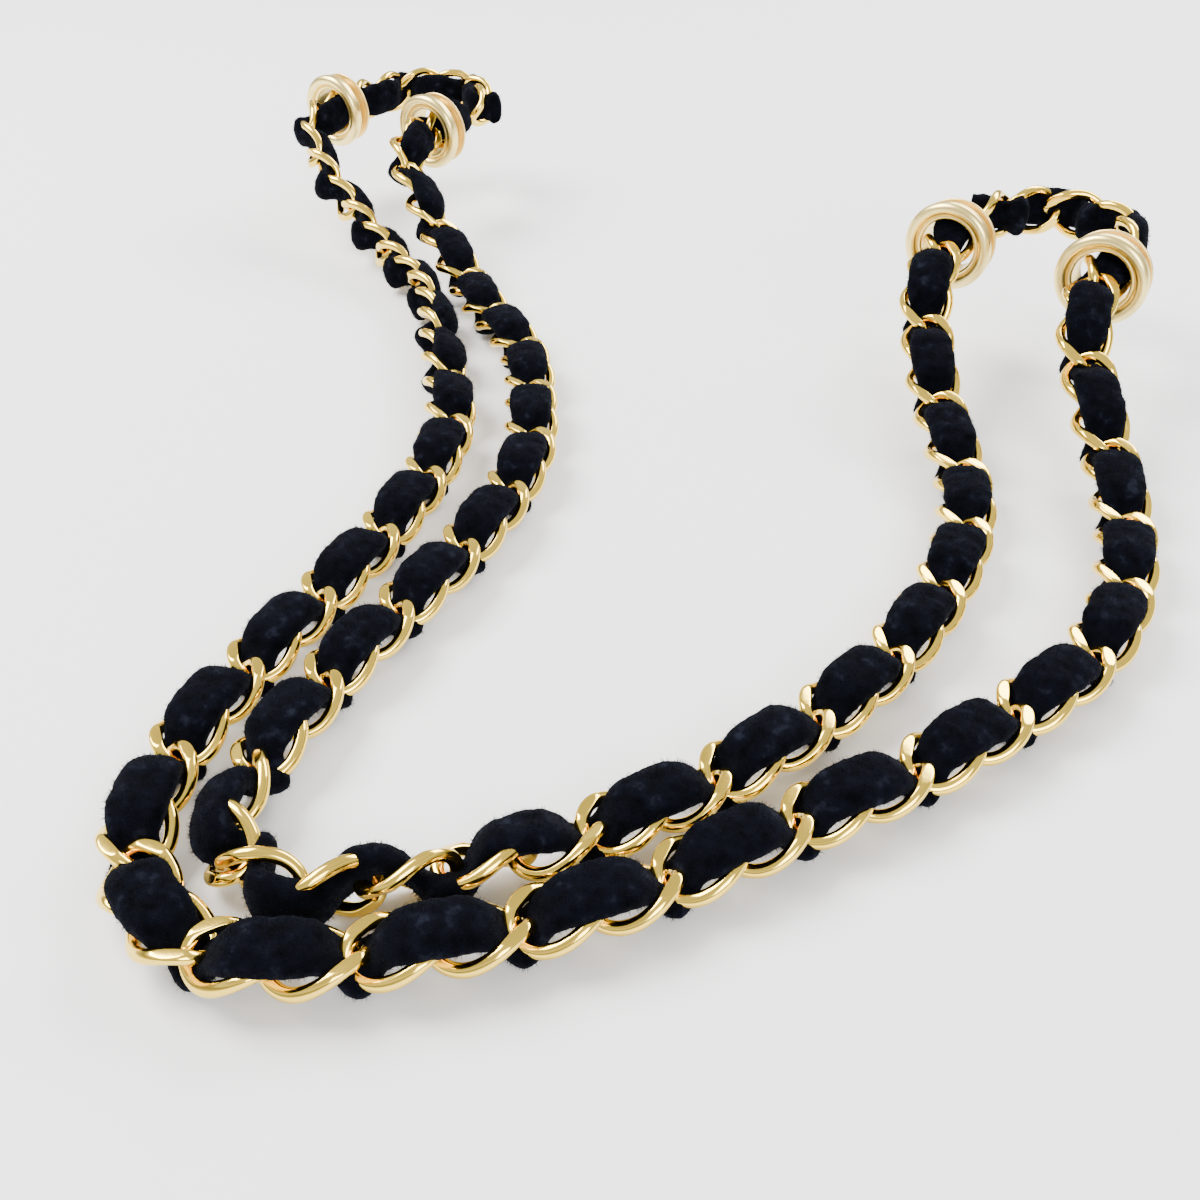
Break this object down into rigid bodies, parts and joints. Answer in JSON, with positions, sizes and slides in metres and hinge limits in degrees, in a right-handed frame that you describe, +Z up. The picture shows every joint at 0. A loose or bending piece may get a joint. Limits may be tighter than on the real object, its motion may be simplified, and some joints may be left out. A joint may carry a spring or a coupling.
{
  "type": "woven chain and velvet shoulder strap",
  "caption": "Endless curb-chain strap with a velvet ribbon woven through its links, passing through two pairs of flanged eyelets with washers.",
  "frame": {"origin": "middle of the strap's bounding box, on the surface the strap lies on", "axes": "+Z up; +Y square to the row of eyelets, into the bag; +X along the row, from eyelet 1 towards eyelet 4"},
  "size_m": [0.2576, 0.2494, 0.0354],
  "materials": {
    "chain": "polished light gold plate",
    "velvet": "dark navy velvet pile",
    "eyelet": "satin light gold plate",
    "washer": "satin light gold plate"
  },
  "bodies": {
    "front": {"front_outer_links": "chain", "front_outer_ribbon": "velvet", "front_inner_links": "chain", "front_inner_ribbon": "velvet"},
    "outer_right_1": {"outer_right_1_links": "chain", "outer_right_1_ribbon": "velvet"},
    "outer_right_2": {"outer_right_2_links": "chain", "outer_right_2_ribbon": "velvet"},
    "outer_right_3": {"outer_right_3_links": "chain", "outer_right_3_ribbon": "velvet"},
    "outer_right_4": {"outer_right_4_links": "chain", "outer_right_4_ribbon": "velvet"},
    "outer_right_loop": {"outer_right_loop_links": "chain", "outer_right_loop_ribbon": "velvet"},
    "outer_left_1": {"outer_left_1_links": "chain", "outer_left_1_ribbon": "velvet"},
    "outer_left_2": {"outer_left_2_links": "chain", "outer_left_2_ribbon": "velvet"},
    "outer_left_3": {"outer_left_3_links": "chain", "outer_left_3_ribbon": "velvet"},
    "outer_left_4": {"outer_left_4_links": "chain", "outer_left_4_ribbon": "velvet"},
    "outer_left_5": {"outer_left_5_links": "chain", "outer_left_5_ribbon": "velvet"},
    "outer_left_6": {"outer_left_6_links": "chain", "outer_left_6_ribbon": "velvet"},
    "outer_left_7": {"outer_left_7_links": "chain", "outer_left_7_ribbon": "velvet"},
    "outer_left_loop": {"outer_left_loop_links": "chain", "outer_left_loop_ribbon": "velvet"},
    "inner_right_1": {"inner_right_1_links": "chain", "inner_right_1_ribbon": "velvet"},
    "inner_right_2": {"inner_right_2_links": "chain", "inner_right_2_ribbon": "velvet"},
    "inner_right_3": {"inner_right_3_links": "chain", "inner_right_3_ribbon": "velvet"},
    "inner_right_4": {"inner_right_4_links": "chain", "inner_right_4_ribbon": "velvet"},
    "inner_left_1": {"inner_left_1_links": "chain", "inner_left_1_ribbon": "velvet"},
    "inner_left_2": {"inner_left_2_links": "chain", "inner_left_2_ribbon": "velvet"},
    "inner_left_3": {"inner_left_3_links": "chain", "inner_left_3_ribbon": "velvet"},
    "inner_left_4": {"inner_left_4_links": "chain", "inner_left_4_ribbon": "velvet"},
    "inner_left_5": {"inner_left_5_links": "chain", "inner_left_5_ribbon": "velvet"},
    "inner_left_6": {"inner_left_6_links": "chain", "inner_left_6_ribbon": "velvet"},
    "eyelet_1_set": {"eyelet_1": "eyelet", "eyelet_1_washer": "washer"},
    "eyelet_2_set": {"eyelet_2": "eyelet", "eyelet_2_washer": "washer"},
    "eyelet_3_set": {"eyelet_3": "eyelet", "eyelet_3_washer": "washer"},
    "eyelet_4_set": {"eyelet_4": "eyelet", "eyelet_4_washer": "washer"}
  },
  "joints": [
    {"name": "outer_right_1_swing", "type": "hinge", "parent": "front", "child": "outer_right_1", "pos_m": [0.10717, -0.05115, 0.00539], "axis": [0, 0, 1], "range_deg": [-4, 0]},
    {"name": "outer_right_2_swing", "type": "hinge", "parent": "outer_right_1", "child": "outer_right_2", "pos_m": [0.12145, -0.01378, 0.00538], "axis": [0, 0, 1], "range_deg": [-6, 0]},
    {"name": "outer_right_3_swing", "type": "hinge", "parent": "outer_right_2", "child": "outer_right_3", "pos_m": [0.11958, 0.02559, 0.00521], "axis": [0, 0, 1], "range_deg": [-6, 0]},
    {"name": "outer_right_4_swing", "type": "hinge", "parent": "outer_right_3", "child": "outer_right_4", "pos_m": [0.10142, 0.05986, 0.01254], "axis": [0, 0, 1], "range_deg": [-6, 1]},
    {"name": "outer_right_loop_swing", "type": "hinge", "parent": "outer_right_4", "child": "outer_right_loop", "pos_m": [0.091, 0.10304, 0.0261], "axis": [0, 0, 1], "range_deg": [-4, 4]},
    {"name": "outer_left_1_swing", "type": "hinge", "parent": "front", "child": "outer_left_1", "pos_m": [0.02699, -0.10677, 0.00539], "axis": [0, 0, 1], "range_deg": [0, 5]},
    {"name": "outer_left_2_swing", "type": "hinge", "parent": "outer_left_1", "child": "outer_left_2", "pos_m": [0.01516, -0.06874, 0.00539], "axis": [0, 0, 1], "range_deg": [0, 6]},
    {"name": "outer_left_3_swing", "type": "hinge", "parent": "outer_left_2", "child": "outer_left_3", "pos_m": [0.00651, -0.02965, 0.00539], "axis": [0, 0, 1], "range_deg": [0, 6]},
    {"name": "outer_left_4_swing", "type": "hinge", "parent": "outer_left_3", "child": "outer_left_4", "pos_m": [-0.01255, 0.00519, 0.00539], "axis": [0, 0, 1], "range_deg": [0, 6]},
    {"name": "outer_left_5_swing", "type": "hinge", "parent": "outer_left_4", "child": "outer_left_5", "pos_m": [-0.04089, 0.03352, 0.00542], "axis": [0, 0, 1], "range_deg": [0, 5]},
    {"name": "outer_left_6_swing", "type": "hinge", "parent": "outer_left_5", "child": "outer_left_6", "pos_m": [-0.07462, 0.05452, 0.00628], "axis": [0, 0, 1], "range_deg": [0, 5]},
    {"name": "outer_left_7_swing", "type": "hinge", "parent": "outer_left_6", "child": "outer_left_7", "pos_m": [-0.1094, 0.06774, 0.02051], "axis": [0, 0, 1], "range_deg": [0, 4]},
    {"name": "outer_left_loop_swing", "type": "hinge", "parent": "outer_left_7", "child": "outer_left_loop", "pos_m": [-0.11947, 0.10248, 0.02609], "axis": [0, 0, 1], "range_deg": [-5, 5]},
    {"name": "inner_right_1_swing", "type": "hinge", "parent": "front", "child": "inner_right_1", "pos_m": [0.09251, -0.04963, 0.00539], "axis": [0, 0, 1], "range_deg": [0, 5]},
    {"name": "inner_right_2_swing", "type": "hinge", "parent": "inner_right_1", "child": "inner_right_2", "pos_m": [0.09819, -0.01079, 0.00537], "axis": [0, 0, 1], "range_deg": [0, 6]},
    {"name": "inner_right_3_swing", "type": "hinge", "parent": "inner_right_2", "child": "inner_right_3", "pos_m": [0.0901, 0.02754, 0.00515], "axis": [0, 0, 1], "range_deg": [0, 6]},
    {"name": "inner_right_4_swing", "type": "hinge", "parent": "inner_right_3", "child": "inner_right_4", "pos_m": [0.06822, 0.05905, 0.01256], "axis": [0, 0, 1], "range_deg": [-1, 4]},
    {"name": "inner_left_1_swing", "type": "hinge", "parent": "front", "child": "inner_left_1", "pos_m": [0.03142, -0.08368, 0.00539], "axis": [0, 0, 1], "range_deg": [-5, 0]},
    {"name": "inner_left_2_swing", "type": "hinge", "parent": "inner_left_1", "child": "inner_left_2", "pos_m": [0.02549, -0.04474, 0.00539], "axis": [0, 0, 1], "range_deg": [-6, 0]},
    {"name": "inner_left_3_swing", "type": "hinge", "parent": "inner_left_2", "child": "inner_left_3", "pos_m": [0.01581, -0.00664, 0.00539], "axis": [0, 0, 1], "range_deg": [-6, 0]},
    {"name": "inner_left_4_swing", "type": "hinge", "parent": "inner_left_3", "child": "inner_left_4", "pos_m": [-0.00737, 0.02514, 0.00537], "axis": [0, 0, 1], "range_deg": [-6, 0]},
    {"name": "inner_left_5_swing", "type": "hinge", "parent": "inner_left_4", "child": "inner_left_5", "pos_m": [-0.03952, 0.04772, 0.00525], "axis": [0, 0, 1], "range_deg": [-5, 0]},
    {"name": "inner_left_6_swing", "type": "hinge", "parent": "inner_left_5", "child": "inner_left_6", "pos_m": [-0.07195, 0.06595, 0.01697], "axis": [0, 0, 1], "range_deg": [-4, 0]},
    {"name": "eyelet_1_slide", "type": "slide", "parent": "outer_left_7", "child": "eyelet_1_set", "axis": [0, 1, 0], "range_m": [-0.002, 0.004]},
    {"name": "eyelet_2_slide", "type": "slide", "parent": "inner_left_6", "child": "eyelet_2_set", "axis": [0, 1, 0], "range_m": [-0.002, 0.004]},
    {"name": "eyelet_3_slide", "type": "slide", "parent": "inner_right_4", "child": "eyelet_3_set", "axis": [0, 1, 0], "range_m": [-0.003, 0.001]},
    {"name": "eyelet_4_slide", "type": "slide", "parent": "outer_right_4", "child": "eyelet_4_set", "axis": [0, 1, 0], "range_m": [-0.002, 0.004]}
  ]
}
